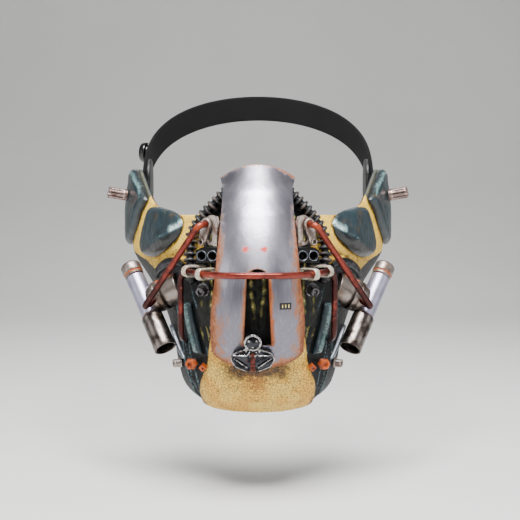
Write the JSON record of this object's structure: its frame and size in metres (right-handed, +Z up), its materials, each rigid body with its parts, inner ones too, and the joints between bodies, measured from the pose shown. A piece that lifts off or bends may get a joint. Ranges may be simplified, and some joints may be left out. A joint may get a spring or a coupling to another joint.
{
  "type": "costume half mask with canisters, hoses and a head strap",
  "caption": "Half face mask with a slotted steel front plate, bent guard rod, corrugated hoses, side canisters, padded cheeks, pebbled chin and a head strap.",
  "frame": {"origin": "centre of the wearer's head, on the line between the two ear studs", "axes": "+X to the wearer's left, which is the viewer's right; the mask's front faces -Y; +Z up"},
  "size_m": [0.2172, 0.2553, 0.2225],
  "materials": {
    "cheek_cream": "crackled cream paint with brown airbrushed edges, satin",
    "chin_cream": "pebbled cream paint with dark crevices",
    "slate_paint": "blue-grey paint worn pale on its edges",
    "arch_paint": "dark blue-grey paint, worn",
    "core_olive": "dark olive paint drybrushed with cream",
    "plate_steel": "vertically brushed, rusted at its edges",
    "copper_red": "copper-red paint with orange wear",
    "silver_fitting": "pinkish silver with brown stains",
    "aged_clamp": "beige-white, stained",
    "port_black": "black, satin",
    "hose_rubber": "black, satin",
    "boss_metal": "grey metal with bronze and rust",
    "canister_steel": "lavender grey, streaked",
    "cap_bronze": "bronze with rust",
    "cup_dark": "dark with a bright streak",
    "strip_aluminium": "brushed",
    "plug_orange": "orange, scuffed",
    "cast_gunmetal": "dark cast metal with bright ribs",
    "webbing_black": "matte woven webbing",
    "tab_black": "black, satin",
    "knob_black": "glossy"
  },
  "bodies": {
    "root": {"face_shell": "cheek_cream", "jaw_core": "core_olive", "chin_cup": "chin_cream", "centre_plate": "plate_steel", "guard_rod": "copper_red", "valve_casting": "cast_gunmetal", "head_strap": "webbing_black", "strap_knob": "knob_black", "ear_lobe_right": "slate_paint", "ear_lobe_left": "slate_paint", "cheek_pad_right": "slate_paint", "cheek_pad_left": "slate_paint", "jaw_band_right": "slate_paint", "jaw_band_left": "slate_paint", "jaw_strip_right": "strip_aluminium", "jaw_strip_left": "strip_aluminium", "hose_right": "hose_rubber", "hose_left": "hose_rubber", "clamp_inner_right": "aged_clamp", "clamp_inner_left": "aged_clamp", "clamp_outer_right": "aged_clamp", "clamp_outer_left": "aged_clamp", "clamp_nut_right": "silver_fitting", "clamp_nut_left": "silver_fitting", "plate_bracket_right": "silver_fitting", "plate_bracket_left": "silver_fitting", "link_right": "silver_fitting", "link_left": "silver_fitting", "port_block_right": "port_black", "port_block_left": "port_black", "cheek_rod_right": "copper_red", "cheek_rod_left": "copper_red", "filter_boss_right": "boss_metal", "filter_boss_left": "boss_metal", "canister_cap_right": "cap_bronze", "canister_cap_left": "cap_bronze", "canister_tube_right": "canister_steel", "canister_tube_left": "canister_steel", "canister_cup_right": "cup_dark", "canister_cup_left": "cup_dark", "cheek_arch_right": "arch_paint", "cheek_arch_left": "arch_paint", "ear_stud_right": "silver_fitting", "ear_stud_left": "silver_fitting", "jaw_bolt_right": "silver_fitting", "jaw_bolt_left": "silver_fitting", "plug_outer_right": "plug_orange", "plug_outer_left": "plug_orange", "plug_inner_right": "plug_orange", "plug_inner_left": "plug_orange", "strap_tab_right": "tab_black", "strap_tab_left": "tab_black"}
  },
  "joints": []
}
